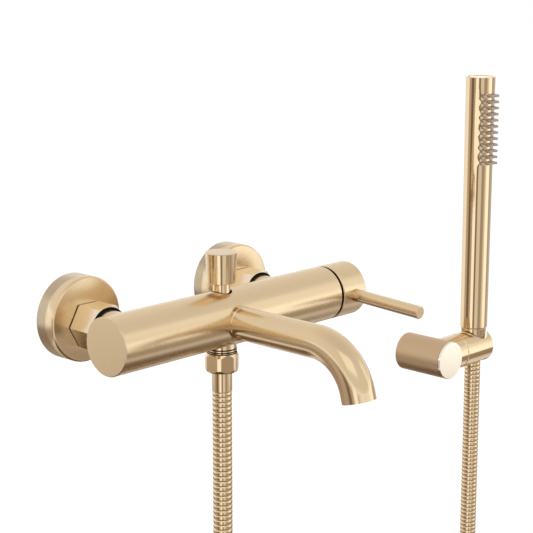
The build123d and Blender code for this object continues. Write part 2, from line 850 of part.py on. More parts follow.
def ribbed(where, start, count):
    """Stretch of ribbed hose with its bore: each rib is a ruled loft through four circles."""
    valley = hose_radius - rib_valley
    steps = ((0, valley), (rib_rise_share, hose_radius), (rib_crest_share, hose_radius), (1, valley))
    ribs = []
    for i in range(count):
        rings = [where.offset(start + (i + share) * rib_pitch) * Circle(radius) for share, radius in steps]
        ribs.append(loft(rings, ruled=True))
    hose = ribs[0].fuse(*ribs[1:])
    return hose - rod(where, hose_bore_radius, start - overrun, start + count * rib_pitch + overrun)


hose_ring = Circle(hose_radius) - Circle(hose_bore_radius)
down = Vector(0, 0, -1)


def hose_leg(x, y, start, count, coil_side, coil_y):
    """Straight ribbed stretch, then a smooth sway down to the coil's straight end."""
    ribs_end = -start - count * rib_pitch
    straight_end = Vector(x, y, -hose_straight_bottom)
    entry = Vector(coil_x + coil_side * coil_radius, coil_y, -coil_entry)
    edges = [Line((x, y, ribs_end), straight_end)] + biarc(straight_end, down, entry, down)
    print("hose sway radii:", [round(edge.radius, 1) for edge in edges[1:]])
    return ribbed(facing_down(x, y), start, count) + swept(hose_ring, edges)


def coil_edges():
    """Centre line of the coil, from its left end to its right end."""
    axes = (Vector(-1, 0, 0), Vector(0, 0, -1), Vector(0, 1, 0))
    middle = Vector(coil_x, coil_y_start, coil_z)
    arcs = coil_path(middle, coil_radius, coil_y_step, coil_half_turns, axes)
    left = Vector(coil_x - coil_radius, coil_y_start, -coil_entry)
    right = Vector(coil_x + coil_radius, coil_y_end, -coil_entry)
    first = Line(left, left + down * 2 * hose_radius)
    last = Line(right + down * 2 * hose_radius, right)
    return [first] + arcs + [last]


def hose_coil():
    """The spare length, wound one and a half turns, as one tube."""
    edges = coil_edges()
    path = wire_of(edges)
    samples = [path @ (i / 600) for i in range(601)]
    apart = int(600 * coil_radius * 2 / path.length)
    least = min((a - b).length for i, a in enumerate(samples) for b in samples[i + apart:])
    print("coil radii:", sorted({round(edge.radius, 1) for edge in edges[1:-1]}))
    print("coil's least gap to itself:", round(least - 2 * hose_radius, 2))
    solid = swept(hose_ring, edges)
    area = hose_ring.area
    print("coil volume over section times length:", round(solid.volume / (area * path.length), 4))
    return solid


def hose_tie():
    """Band round the two turns that lie side by side at the bottom of the coil."""
    arcs = coil_edges()[1:-1]
    low, high = arcs[0] @ 1, arcs[-1] @ 0
    middle = (low + high) / 2
    spread = (high - low).length
    inner = hose_radius + tie_gap
    outer = inner + tie_wall
    place = Plane(origin=middle - Vector(tie_width / 2, 0, 0), x_dir=(0, 1, 0), z_dir=(1, 0, 0))
    band = SlotCenterToCenter(spread, 2 * outer) - SlotCenterToCenter(spread, 2 * inner)
    return extrude(place * band, tie_width)


# Wall bracket

def bracket_plate():
    """Round plate that is screwed to the wall through a countersunk hole and fills the post's foot."""
    return turned(post_line, [(plate_hole_radius, 0), (plate_radius, 0), (plate_radius, plate_thickness),
                              (plate_sink_radius, plate_thickness),
                              (plate_hole_radius, plate_thickness - plate_sink_depth)])


def bracket_post():
    """Thick round post over the plate, bored for the arm's spigot, the cap and a screw."""
    outline = [(0, post_cavity), (plate_radius + seat_gap, post_cavity), (plate_radius + seat_gap, 0),
               (post_radius, 0), (post_radius, post_out), (0, post_out)]
    post = turned(post_line, outline)
    post -= rod(arm_line, arm_spigot_radius + running_gap, bracket_x, bracket_x + post_radius + overrun)
    post -= rod(post_line, post_cap_spigot_radius + running_gap, post_out - post_cap_spigot, post_out + overrun)
    screw_line = Plane(origin=(bracket_x, -bracket_grub_out, bracket_z), z_dir=(0, 0, -1))
    return post - rod(screw_line, bracket_grub_radius, plate_radius - overrun, post_radius + overrun)


def bracket_cap():
    """Polished disc that closes the post, on a short spigot, with a narrow groove at the joint."""
    start = post_out - post_cap_spigot
    end = post_out + post_cap_thickness
    seam = post_out + post_cap_groove_width
    inner = post_radius - post_cap_groove_depth
    outline = [(0, start), (post_cap_spigot_radius, start), (post_cap_spigot_radius, post_out),
               (inner, post_out), (inner, seam), (post_radius, seam),
               (post_radius, end - bevel), (post_radius - bevel, end), (0, end)]
    return turned(post_line, outline)


def bracket_grub_screw():
    screw_line = Plane(origin=(bracket_x, -bracket_grub_out, bracket_z), z_dir=(0, 0, -1))
    return rod(screw_line, bracket_grub_radius, plate_radius, post_radius - bevel)


def bracket_arm():
    """Arm that meets the post's side, with a spigot in it and a thread for the swivel bolt."""
    arm = rod(arm_line, arm_radius, bracket_x, arm_end) - rod(post_line, post_radius, 0, 2 * post_out)
    arm += rod(arm_line, arm_spigot_radius, bracket_x, arm_end - overrun)
    return arm - rod(arm_line, swivel_bolt_radius, swivel_bolt_start, arm_end + overrun)


def friction_washer():
    return tube(arm_line, friction_washer_radius, swivel_bolt_radius + running_gap,
                arm_end, arm_end + friction_washer_thickness)


def swivel_bolt():
    """Bolt that the holder turns on, with its head inside the holder."""
    head = swivel_head_place
    outline = [(0, swivel_bolt_start), (swivel_bolt_radius, swivel_bolt_start), (swivel_bolt_radius, head),
               (swivel_head_radius, head), (swivel_head_radius, head + swivel_head), (0, head + swivel_head)]
    return turned(arm_line, outline)


def cone_radius(z):
    """Outer radius of the hose's cone nut at a height."""
    return cone_top_radius - (cone_top - z) * tan(radians(cone_angle))


def holder():
    """Round holder: tapered bore with a wider mouth for the cone nut, and an end slot for the hose."""
    edge = arm_radius - bevel
    outline = [(0, holder_start), (edge, holder_start), (arm_radius, holder_start + bevel),
               (arm_radius, holder_end - bevel), (edge, holder_end), (0, holder_end)]
    solid = turned(arm_line, outline)
    low, high = bracket_z - arm_radius - overrun, bracket_z + arm_radius + overrun
    solid -= turned(wand_up, [(0, low), (cone_radius(low) + cone_gap, low),
                              (cone_radius(high) + cone_gap, high), (0, high)])
    top = bracket_z + arm_radius
    neck = top - holder_mouth_depth
    solid -= turned(wand_up, [(0, neck), (cone_radius(neck) + cone_gap, neck),
                              (holder_mouth_radius, neck + holder_mouth_taper), (holder_mouth_radius, high), (0, high)])
    solid -= block((wand_x, arm_y - holder_slot / 2, low), (holder_end + overrun, arm_y + holder_slot / 2, high))
    solid -= rod(arm_line, swivel_bolt_radius + running_gap, holder_start - overrun, wand_x)
    return solid - rod(arm_line, swivel_head_radius + sliding_gap, swivel_head_place - seat_gap, wand_x)


# Hand shower

def wand_radius(z):
    """Outer radius of the hand shower's tapered tube at a height."""
    share = (z - wand_bottom) / (wand_top - wand_bottom)
    return wand_bottom_radius + share * (wand_top_radius - wand_bottom_radius)


def nozzle_lines():
    """Planes on the hand shower's axis that face along each nozzle."""
    lines = []
    for row in range(nozzle_rows):
        for angle in nozzle_angles:
            around = radians(wand_turn + angle)
            way = (sin(around), -cos(around), 0)
            centre = (wand_x, arm_y, nozzle_first + row * nozzle_pitch)
            lines.append(Plane(origin=centre, x_dir=(0, 0, 1), z_dir=way))
    return lines


def handset_tube():
    """Tapered tube with a hole for each nozzle."""
    low, high = (wand_bottom_radius, wand_bottom), (wand_top_radius, wand_top)
    outline = [(wand_bottom_radius - wand_wall, wand_bottom), low, high, (wand_top_radius - wand_wall, wand_top)]
    shell = turned(wand_up, outline, [(low, bevel), (high, bevel)])
    holes = [rod(line, nozzle_hole_radius, strip_radius - wand_wall, wand_top_radius + overrun)
             for line in nozzle_lines()]
    return shell - holes


def handset_cap():
    """Plug that closes the top, flush with the rim's round."""
    start, end = wand_top - bevel - wand_cap_thickness, wand_top - bevel
    inner = wand_radius(start) - wand_wall - seat_gap
    return rod(wand_up, inner, start, end)


def nozzle_strip():
    """Soft strip inside the tube that carries the tapered nozzles."""
    inner = strip_radius - strip_thickness
    half = strip_half_angle
    profile = make_face(Plane.XZ * Polyline((inner, strip_bottom), (strip_radius, strip_bottom),
                                            (strip_radius, strip_top), (inner, strip_top), close=True))
    shell = revolve(profile, Axis.Z, revolution_arc=2 * half)
    strip = Pos(wand_x, arm_y, 0) * Rot(0, 0, wand_turn - 90 - half) * Part(shell.wrapped)
    outline = [(0, inner), (nozzle_base_radius, inner), (nozzle_base_radius, wand_top_radius),
               (nozzle_tip_radius, nozzle_tip_place), (0, nozzle_tip_place)]
    return strip + [turned(line, outline) for line in nozzle_lines()]


def handset_liner():
    """Inner water tube up to the nozzle chamber."""
    return tube(wand_up, liner_radius, liner_radius - liner_wall, wand_bottom + nipple_top, liner_top)


def handset_nipple():
    """Threaded nipple at the bottom, on which the cone nut is screwed."""
    low, high = wand_bottom - nipple_length, wand_bottom + nipple_top
    outer = wand_bottom_radius - wand_wall - seat_gap
    outline = [(nipple_bore_radius, low), (cone_thread_radius, low), (cone_thread_radius, wand_bottom),
               (outer, wand_bottom), (outer, high), (nipple_bore_radius, high)]
    return turned(wand_up, outline)


def flow_restrictor():
    start = wand_bottom + nipple_top
    outer = liner_radius - liner_wall - running_gap
    return tube(wand_up, outer, restrictor_bore_radius, start, start + restrictor_thickness)


def hose_cone_nut():
    """Tapered nut that screws to the hand shower and seats in the holder."""
    thread_floor = wand_bottom - cone_thread_depth
    thread = cone_thread_radius + running_gap
    top, low = (cone_top_radius, cone_top), (cone_bottom_radius, cone_bottom)
    outline = [(thread, cone_top), top, low, (hose_bore_radius, cone_bottom),
               (hose_bore_radius, thread_floor), (thread, thread_floor)]
    return turned(wand_up, outline, [(top, bevel), (low, bevel)])


def cone_washer():
    start = wand_bottom - nipple_length - cone_washer_thickness
    return tube(wand_up, cone_thread_radius, cone_bore_radius, start, wand_bottom - nipple_length)


coil_y_end = coil_y_start + coil_y_step * coil_half_turns / 2

pieces = {
    "mixer_body": mixer_body,
    "eccentric_left": lambda: eccentric(-supply_x),
    "eccentric_right": lambda: eccentric(supply_x),
    "rosette_left": lambda: rosette(-supply_x),
    "rosette_right": lambda: rosette(supply_x),
    "union_nut_left": lambda: union_nut(-supply_x),
    "union_nut_right": lambda: union_nut(supply_x),
    "inlet_tail_left": lambda: inlet_tail(-supply_x),
    "inlet_tail_right": lambda: inlet_tail(supply_x),
    "union_washers": lambda: both_sides(union_washer),
    "check_valves": lambda: both_sides(check_valve),
    "cartridge_housing": cartridge_housing,
    "disc_fixed": disc_fixed,
    "disc_moving": disc_moving,
    "disc_carrier": disc_carrier,
    "cartridge_rotor": cartridge_rotor,
    "stem_pin": stem_pin,
    "cartridge_stem": cartridge_stem,
    "cartridge_nut": cartridge_nut,
    "handle_cap": handle_cap,
    "lever_rod": lever_rod,
    "lever_grub_screw": lever_grub_screw,
    "diverter_knob": diverter_knob,
    "diverter_stem": diverter_stem,
    "diverter_guide": diverter_guide,
    "diverter_valve": diverter_valve,
    "diverter_spring": diverter_spring,
    "spout": spout,
    "spout_seal": spout_seal,
    "aerator_housing": aerator_housing,
    "aerator_insert": aerator_insert,
    "outlet_nipple": outlet_nipple,
    "outlet_washer": outlet_washer,
    "hose_nut": hose_nut,
    "hose_ferrule": hose_ferrule,
    "hose_leg_mixer": lambda: hose_leg(0, bar_y, ferrule_bottom, mixer_leg_ribs, -1, coil_y_start),
    "hose_leg_handset": lambda: hose_leg(wand_x, arm_y, -cone_bottom, handset_leg_ribs, 1, coil_y_end),
    "hose_coil": hose_coil,
    "hose_tie": hose_tie,
    "bracket_plate": bracket_plate,
    "bracket_post": bracket_post,
    "bracket_cap": bracket_cap,
    "bracket_grub_screw": bracket_grub_screw,
    "bracket_arm": bracket_arm,
    "friction_washer": friction_washer,
    "swivel_bolt": swivel_bolt,
    "holder": holder,
    "handset_tube": handset_tube,
    "handset_cap": handset_cap,
    "nozzle_strip": nozzle_strip,
    "handset_liner": handset_liner,
    "handset_nipple": handset_nipple,
    "flow_restrictor": flow_restrictor,
    "hose_cone_nut": hose_cone_nut,
    "cone_washer": cone_washer,
}

os.makedirs("parts", exist_ok=True)
for name, make in pieces.items():
    export_step(make(), f"parts/{name}.step")
print(len(pieces), "pieces written")
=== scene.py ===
# %% [markdown]
# # Bath shower mixer in brushed brass
# This file dresses a wall-mounted bath shower mixer: a round bar with a side lever, a bent bath spout and a
# pull-up diverter, and a metal hose that leads to a slim hand shower on a swivelling wall holder.
# The rigid pieces come ready made and keep their shapes. What is made here is the light, the finishes, the
# ribbed hose and the small forms that only show from close by.

# %% Imports and the ready-made pieces
import math

import bpy
import numpy as np
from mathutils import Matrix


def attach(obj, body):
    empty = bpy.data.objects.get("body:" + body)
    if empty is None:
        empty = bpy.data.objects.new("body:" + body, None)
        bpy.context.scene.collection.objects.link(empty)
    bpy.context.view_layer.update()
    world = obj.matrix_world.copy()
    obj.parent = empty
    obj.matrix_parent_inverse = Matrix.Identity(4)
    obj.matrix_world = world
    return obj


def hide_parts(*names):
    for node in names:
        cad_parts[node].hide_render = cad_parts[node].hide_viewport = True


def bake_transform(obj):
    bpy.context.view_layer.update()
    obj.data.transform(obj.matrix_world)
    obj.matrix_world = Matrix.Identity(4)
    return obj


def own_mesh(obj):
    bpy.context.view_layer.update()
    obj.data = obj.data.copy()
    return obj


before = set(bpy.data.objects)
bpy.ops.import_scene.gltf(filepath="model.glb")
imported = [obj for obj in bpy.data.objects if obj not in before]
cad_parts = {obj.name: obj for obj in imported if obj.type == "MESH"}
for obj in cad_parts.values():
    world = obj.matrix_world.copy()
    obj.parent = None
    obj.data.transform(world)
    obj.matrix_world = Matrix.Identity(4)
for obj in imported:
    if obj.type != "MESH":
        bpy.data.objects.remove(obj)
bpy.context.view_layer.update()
MM = 0.001

# %% [markdown]
# ## Camera
# The photograph was taken with a long lens, from the left of the mixer and a little above it. The place and
# the angles below were fitted to the edges of the bar, so the frame needs no shift and no roll.

# %% Camera
CAMERA_PLACE = (-0.76878, -0.85335, 0.27643)
CAMERA_AZIMUTH = -46.3
CAMERA_ELEVATION = 12.48
LENS = 108.07
SENSOR = 36.0
RIGHT_ANGLE = 90.0

camera_data = bpy.data.cameras.new("camera")
camera_data.sensor_width = SENSOR
camera_data.lens = LENS
camera = bpy.data.objects.new("camera", camera_data)
camera.location = CAMERA_PLACE
camera.rotation_euler = [math.radians(a) for a in (RIGHT_ANGLE - CAMERA_ELEVATION, 0.0, CAMERA_AZIMUTH)]
bpy.context.collection.objects.link(camera)
bpy.context.scene.camera = camera
bpy.context.scene.view_settings.view_transform = "Standard"
print("camera", CAMERA_PLACE, "lens", LENS)

# %% [markdown]
# ## Small helpers for node materials
# Every finish is a tree of shader nodes. Three helpers keep the trees short: one adds a node and sets its
# values, one links sockets, and one starts a material whose Principled BSDF is ready to be fed.

# %% Node helpers


def add_node(tree, kind, settings=None, **inputs):
    """Add a node; settings are its own properties, and inputs are values or sockets.

    An input goes by its socket's name, or by i and its number where names repeat.
    """
    node = tree.nodes.new(kind)
    for name, value in (settings or {}).items():
        setattr(node, name, value)
    for name, value in inputs.items():
        numbered = name[0] == "i" and name[1:].isdigit()
        socket = node.inputs[int(name[1:]) if numbered else name.replace("_", " ")]
        if isinstance(value, bpy.types.NodeSocket):
            tree.links.new(value, socket)
        else:
            socket.default_value = value
    return node


def maths(tree, operation, a, b=0.0, c=0.0):
    """One Math node: returns its output socket."""
    return add_node(tree, "ShaderNodeMath", {"operation": operation}, i0=a, i1=b, i2=c).outputs[0]


def new_material(name, **values):
    """A material with a Principled BSDF; values set its sockets."""
    material = bpy.data.materials.new(name)
    material.use_nodes = True
    shader = material.node_tree.nodes["Principled BSDF"]
    for socket, value in values.items():
        shader.inputs[socket.replace("_", " ")].default_value = value
    return material, material.node_tree, shader


# %% [markdown]
# ## Brushed grain
# Satin brass is brushed with a fine abrasive belt. Turned pieces are brushed round and round, so their fine
# lines run round the axis, and a reflection is smeared along the axis into long soft bands. The lines are
# noise that is stretched: squeezed hard along the axis, so that it changes quickly there, and slowly round
# it. The same group serves every brushed piece, with its axis and its strength as inputs.
# The hand shower was photographed from further to the right than the bar. Its finish turns its normals about
# Z, so that its reflections turn by SECOND_VIEW degrees and its stripes lie where the photograph has them.

# %% Grain group
LINE_DETAIL, CLOUD_DETAIL, CLOUD_SCALE = 3.0, 2.0, 38.0
NOISE_MIDDLE = 0.5
GRAIN_DEPTH = 0.0004
SECOND_VIEW = 14.0


def grain_group():
    """Noise of Object coordinates as a roughness and a height.

    Roughness = its mean + (fine noise - middle) times the spread + (broad noise - middle) times the cloud;
    the height is the fine noise less its middle.
    """
    group = bpy.data.node_groups.new("brushed_grain", "ShaderNodeTree")
    for name, kind, value in (("Scale", "NodeSocketVector", (1.0, 1.0, 1.0)),
                              ("Roughness", "NodeSocketFloat", 0.3),
                              ("Spread", "NodeSocketFloat", 0.1),
                              ("Cloud", "NodeSocketFloat", 0.05)):
        group.interface.new_socket(name, in_out="INPUT", socket_type=kind).default_value = value
    for name in ("Roughness", "Height"):
        group.interface.new_socket(name, in_out="OUTPUT", socket_type="NodeSocketFloat")
    inputs = group.nodes.new("NodeGroupInput").outputs
    places = add_node(group, "ShaderNodeTexCoord").outputs["Object"]
    stretched = add_node(group, "ShaderNodeVectorMath", {"operation": "MULTIPLY"}, i0=places, i1=inputs["Scale"])
    lines = add_node(group, "ShaderNodeTexNoise", Vector=stretched.outputs[0], Scale=1.0, Detail=LINE_DETAIL)
    cloud = add_node(group, "ShaderNodeTexNoise", Vector=places, Scale=CLOUD_SCALE, Detail=CLOUD_DETAIL)
    fine = maths(group, "SUBTRACT", lines.outputs[0], NOISE_MIDDLE)
    broad = maths(group, "SUBTRACT", cloud.outputs[0], NOISE_MIDDLE)
    rough = maths(group, "MULTIPLY_ADD", fine, inputs["Spread"], inputs["Roughness"])
    rough = maths(group, "MULTIPLY_ADD", broad, inputs["Cloud"], rough)
    output = group.nodes.new("NodeGroupOutput")
    group.links.new(rough, output.inputs["Roughness"])
    group.links.new(fine, output.inputs["Height"])
    return group


GRAIN = grain_group()


def brushed_metal(name, colour, roughness, scale, spread=0.02, bump=0.001, turned=False):
    """Metal with the grain group on its roughness and its bump.

    A turned one's normals turn about Z by half of SECOND_VIEW, and so its reflections by all of it.
    """
    material, tree, shader = new_material(name, Base_Color=(*colour, 1.0), Metallic=1.0)
    grain = add_node(tree, "ShaderNodeGroup", {"node_tree": GRAIN},
                     Scale=scale, Roughness=roughness, Spread=spread)
    height = add_node(tree, "ShaderNodeBump", Height=grain.outputs["Height"], Strength=bump, Distance=GRAIN_DEPTH)
    tree.links.new(grain.outputs["Roughness"], shader.inputs["Roughness"])
    normal = height.outputs["Normal"]
    if turned:
        normal = add_node(tree, "ShaderNodeVectorRotate", {"rotation_type": "Z_AXIS"}, Vector=normal,
                          Angle=math.radians(SECOND_VIEW / 2)).outputs[0]
    tree.links.new(normal, shader.inputs["Normal"])
    return material


# %% [markdown]
# ## Finishes
# One colour of brass covers most of the visible pieces. The union nuts are paler, the bracket's post is darker
# and its cap is polished, as in the photograph. What also changes is the way that the grain runs: round X on
# the bar, round Z on the knob and the hand shower, round Y on the wall pieces.

# %% Brass
BRASS = (0.78, 0.62, 0.40)
BRASS_PALE = (0.92, 0.80, 0.62)
BRASS_BRIGHT = (0.96, 0.89, 0.75)
BRASS_DARK = (0.62, 0.46, 0.29)
BRASS_RAW = (0.55, 0.38, 0.16)
STEEL = (0.55, 0.55, 0.54)
ACROSS, ALONG = 26.0, 5200.0

brass_x = brushed_metal("brushed_brass_round_x", BRASS, 0.27, (ALONG, ACROSS, ACROSS))
brass_y = brushed_metal("brushed_brass_round_y", BRASS, 0.27, (ACROSS, ALONG, ACROSS))
brass_z = brushed_metal("brushed_brass_round_z", BRASS, 0.10, (ACROSS, ACROSS, ALONG))
brass_wand = brushed_metal("hand_shower_brass", BRASS, 0.10, (ACROSS, ACROSS, ALONG), turned=True)
brass_holder = brushed_metal("bracket_brass", BRASS, 0.12, (ALONG, ACROSS, ACROSS))
brass_spout = brushed_metal("spout_brass", BRASS, 0.18, (ACROSS, ALONG, ACROSS))
brass_post = brushed_metal("post_brass", BRASS_DARK, 0.42, (ACROSS, ALONG, ACROSS))
brass_nut = brushed_metal("nut_brass", BRASS_PALE, 0.20, (ACROSS, ALONG, ACROSS))
brass_hose = brushed_metal("hose_brass", BRASS, 0.13, (ACROSS, ACROSS, ALONG), 0.03, 0.002)
brass_polished = brushed_metal("polished_brass", BRASS_BRIGHT, 0.16, (ACROSS, ALONG, ACROSS), 0.05, 0.004)
brass_raw = brushed_metal("raw_brass", BRASS_RAW, 0.38, (ALONG, ACROSS, ACROSS))
steel = brushed_metal("stainless_steel", STEEL, 0.3, (ALONG, ACROSS, ACROSS))
print("brass", BRASS)

# %% [markdown]
# ## Plastic, ceramic, rubber and silicone
# The nozzles are soft silicone that lets some light through, so light scatters a little under their skin, and
# their colour darkens where they turn away, as painted shade. The parts inside the bar hardly show, and stay
# plain but not flat.

# %% Other finishes
MOULD_SPREAD, MOULD_DEPTH = 0.2, 0.0003
SILICONE_FACE, SILICONE_RIM_SHADE = (0.60, 0.52, 0.44, 1.0), (0.10, 0.07, 0.05, 1.0)
SILICONE_DEPTHS, SILICONE_BLEND = (0.004, 0.003, 0.002), 0.45


def moulded(name, colour, roughness, scale=220.0, bump=0.05, **values):
    """Plastic or rubber with a fine even texture on its roughness and bump."""
    material, tree, shader = new_material(name, Base_Color=(*colour, 1.0), **values)
    places = add_node(tree, "ShaderNodeTexCoord").outputs["Object"]
    noise = add_node(tree, "ShaderNodeTexNoise", Vector=places, Scale=scale, Detail=3.0).outputs[0]
    fine = maths(tree, "SUBTRACT", noise, NOISE_MIDDLE)
    rough = maths(tree, "MULTIPLY_ADD", fine, MOULD_SPREAD, roughness)
    height = add_node(tree, "ShaderNodeBump", Height=noise, Strength=bump, Distance=MOULD_DEPTH)
    tree.links.new(rough, shader.inputs["Roughness"])
    tree.links.new(height.outputs["Normal"], shader.inputs["Normal"])
    return material


ceramic = moulded("ceramic", (0.85, 0.84, 0.80), 0.2)
plastic_white = moulded("white_plastic", (0.80, 0.80, 0.78), 0.4)
plastic_grey = moulded("grey_plastic", (0.30, 0.31, 0.32), 0.45)
# Real black rubber for the washers, and also the painted shade of the black rings and band in the gaps.
rubber_and_painted_shade = moulded("black_rubber", (0.008, 0.006, 0.005), 0.7, Specular_IOR_Level=0.15)
silicone = moulded("clear_silicone", (0.50, 0.43, 0.36), 0.25, Subsurface_Weight=0.2, Coat_Weight=0.4)
tree = silicone.node_tree
shader = tree.nodes["Principled BSDF"]
shader.inputs["Subsurface Radius"].default_value = SILICONE_DEPTHS
# Painted shade: the base colour darkens to near black where the nozzle's surface turns away.
slant = add_node(tree, "ShaderNodeLayerWeight", Blend=SILICONE_BLEND).outputs["Facing"]
rim = add_node(tree, "ShaderNodeMix", {"data_type": "RGBA"}, i0=slant, i6=SILICONE_FACE, i7=SILICONE_RIM_SHADE)
tree.links.new(rim.outputs[2], shader.inputs["Base Color"])

# %% [markdown]
# Each node of the frame gets one finish, also the inner ones, which show when the mixer is taken apart.

# %% Which node wears which finish
FINISHES = {
    "mixer_body handle_cap": brass_x,
    "bracket_arm holder": brass_holder,
    "rosette_left rosette_right lever_rod": brass_y,
    "spout": brass_spout,
    "union_nut_left union_nut_right": brass_nut,
    "bracket_post": brass_post,
    "diverter_knob outlet_nipple hose_nut hose_ferrule": brass_z,
    "handset_tube handset_cap hose_cone_nut": brass_wand,
    "bracket_cap": brass_polished,
    "eccentric_left eccentric_right inlet_tail_left inlet_tail_right cartridge_nut diverter_stem": brass_raw,
    "diverter_guide handset_nipple": brass_raw,
    "stem_pin cartridge_stem lever_grub_screw diverter_spring swivel_bolt": steel,
    "bracket_plate bracket_grub_screw": steel,
    "disc_fixed disc_moving": ceramic,
    "cartridge_housing disc_carrier cartridge_rotor handset_liner aerator_insert": plastic_white,
    "check_valves aerator_housing flow_restrictor": plastic_grey,
    "union_washers spout_seal outlet_washer cone_washer diverter_valve hose_tie friction_washer": rubber_and_painted_shade,
    "nozzle_strip": silicone,
}
for names, finish in FINISHES.items():
    for name in names.split():
        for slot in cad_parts[name].material_slots:
            slot.material = finish
print("finishes on", sum(len(names.split()) for names in FINISHES), "nodes")

# %% [markdown]
# ## Hose
# A metal shower hose is a strip wound into overlapping beads round a rubber tube. It hangs straight under
# the mixer and under the holder, where the photograph shows it, and the rest of its 1.5 m hangs lower, in a
# tied coil of one and a half turns. Its line is one smooth spline; the ribbed skin is then carried along it.

# %% The hose's line
HOSE_RADIUS = 7.0
LEFT_LEG, RIGHT_LEG = (0.0, -75.0), (357.4, -32.5)
HOSE_TOP_LEFT = (*LEFT_LEG, -56.0)
HOSE_TOP_RIGHT = (*RIGHT_LEG, -112.0)
STRAIGHT = (-112.0, -168.0)
COIL_X, COIL_Z, COIL_RADIUS = 178.7, -442.0, 74.0
COIL_Y, COIL_STEP = -61.6, 15.6
COIL_TURNS, POINTS_A_TURN, COIL_POINTS = 1.5, 12, 18
SWAY = (-224.7, -335.3, -372.7)

left_points = [HOSE_TOP_LEFT, *((*LEFT_LEG, z) for z in (*STRAIGHT, SWAY[0], SWAY[1])),
               (COIL_X - COIL_RADIUS, COIL_Y, SWAY[2])]
right_points = [(COIL_X + COIL_RADIUS, COIL_Y + COIL_TURNS * COIL_STEP, SWAY[2]),
                *((*RIGHT_LEG, z) for z in (SWAY[1], SWAY[0], STRAIGHT[1])), HOSE_TOP_RIGHT]
half_step = math.pi / POINTS_A_TURN
turns = (np.arange(COIL_POINTS) + 0.5) / POINTS_A_TURN
angle = math.pi + 2 * math.pi * turns
corner_radius = COIL_RADIUS / math.cos(half_step)
coil_points = np.stack([COIL_X + corner_radius * np.cos(angle), COIL_Y + COIL_STEP * turns,
                        COIL_Z + corner_radius * np.sin(angle)], axis=1)
route = np.concatenate([left_points, coil_points, right_points]) * MM


def smooth_line(name, points, resolution=16):
    """A NURBS spline of order 3 whose control points are the route's, as a curve object."""
    curve = bpy.data.curves.new(name, "CURVE")
    curve.dimensions = "3D"
    spline = curve.splines.new("NURBS")
    spline.points.add(len(points) - 1)
    spline.points.foreach_set("co", np.c_[points, np.ones(len(points))].ravel())
    spline.order_u = 3
    spline.use_endpoint_u = True
    spline.resolution_u = resolution
    line = bpy.data.objects.new(name, curve)
    bpy.context.collection.objects.link(line)
    return line


def line_points(line):
    """The points of a curve object, as Blender works them out."""
    mesh = bpy.data.meshes.new_from_object(line)
    places = np.empty(len(mesh.vertices) * 3)
    mesh.vertices.foreach_get("co", places)
    bpy.data.meshes.remove(mesh)
    return places.reshape(-1, 3)


hose_line = smooth_line("hose_line", route)
hose_path = line_points(hose_line)
bpy.data.objects.remove(hose_line)
steps = np.linalg.norm(np.diff(hose_path, axis=0), axis=1)
HOSE_LENGTH = float(steps.sum())
print("hose length", round(HOSE_LENGTH, 4), "points", len(hose_path))

# %% [markdown]
# The skin is a circle carried along the line. At each distance along it the radius follows the bead: it
# rises quickly, stays nearly flat and falls into a narrow groove. Each ring is set square to the line.

# %% The ribbed skin
RIB_PITCH = 3.7
SIDES = 28
BEAD = ((0.0, -0.60), (0.07, -0.28), (0.17, -0.08), (0.32, 0.0),
        (0.62, 0.0), (0.78, -0.07), (0.89, -0.26), (0.96, -0.50))


def closed_rings(name, rings):
    """A mesh tube from rings of points, an array of rings by sides by three, with its ends closed."""
    count, sides = rings.shape[:2]
    index = np.arange(count * sides).reshape(count, sides)
    a, b = index[:-1], index[1:]
    quads = np.stack([a, np.roll(a, -1, 1), np.roll(b, -1, 1), b], axis=-1).reshape(-1, 4)
    faces = quads.tolist() + [index[0][::-1].tolist(), index[-1].tolist()]
    mesh = bpy.data.meshes.new(name)
    mesh.from_pydata(rings.reshape(-1, 3).tolist(), [], faces)
    mesh.polygons.foreach_set("use_smooth", np.ones(len(mesh.polygons), bool))
    mesh.update()
    piece = bpy.data.objects.new(name, mesh)
    bpy.context.collection.objects.link(piece)
    return piece


def carried_circle(name, path, distances, radii, sides=SIDES, across=(0.0, 1.0, 0.0)):
    """Rings of the given radii at the given distances along a path: place + r (cos a n + sin a b).

    The path never runs along `across`, which fixes where each ring starts.
    """
    lengths = np.r_[0.0, np.cumsum(np.linalg.norm(np.diff(path, axis=0), axis=1))]
    places = np.stack([np.interp(distances, lengths, path[:, i]) for i in range(3)], axis=1)
    ahead = np.gradient(path, lengths, axis=0)
    way = np.stack([np.interp(distances, lengths, ahead[:, i]) for i in range(3)], axis=1)
    way /= np.linalg.norm(way, axis=1, keepdims=True)
    side = np.cross(way, across)
    side /= np.linalg.norm(side, axis=1, keepdims=True)
    up = np.cross(side, way)
    turn = np.linspace(0, 2 * math.pi, sides, endpoint=False)
    circle = np.cos(turn)[None, :, None] * side[:, None] + np.sin(turn)[None, :, None] * up[:, None]
    return closed_rings(name, places[:, None] + radii[:, None, None] * circle[:, ::-1])


def bead_radii(length, radius, pitch):
    """Distances and radii of beads all along a length: (bead's number + share) times its step, radius + depth."""
    shares, depths = np.array(BEAD).T
    count = int(length / pitch)
    step = length / count
    distances = (np.arange(count)[:, None] + shares[None]) * step
    beads = np.tile(radius + depths * MM, count)
    return np.r_[distances.ravel(), length], np.r_[beads, radius + depths[0] * MM]


END_GAP = 0.15
distances, radii = bead_radii(HOSE_LENGTH - END_GAP * MM, HOSE_RADIUS * MM, RIB_PITCH * MM)
hose = carried_circle("hose", hose_path, distances, radii)
hose.data.materials.append(brass_hose)
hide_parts("hose_leg_mixer", "hose_coil", "hose_leg_handset")
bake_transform(hose)
print("hose faces", len(hose.data.polygons))

# %% [markdown]
# When the hand shower is lifted, the hose comes up with it. The stretch that shows then is a short length
# of the same hose that rides with the hand shower, a hair thinner, so that at rest it lies inside the skin.

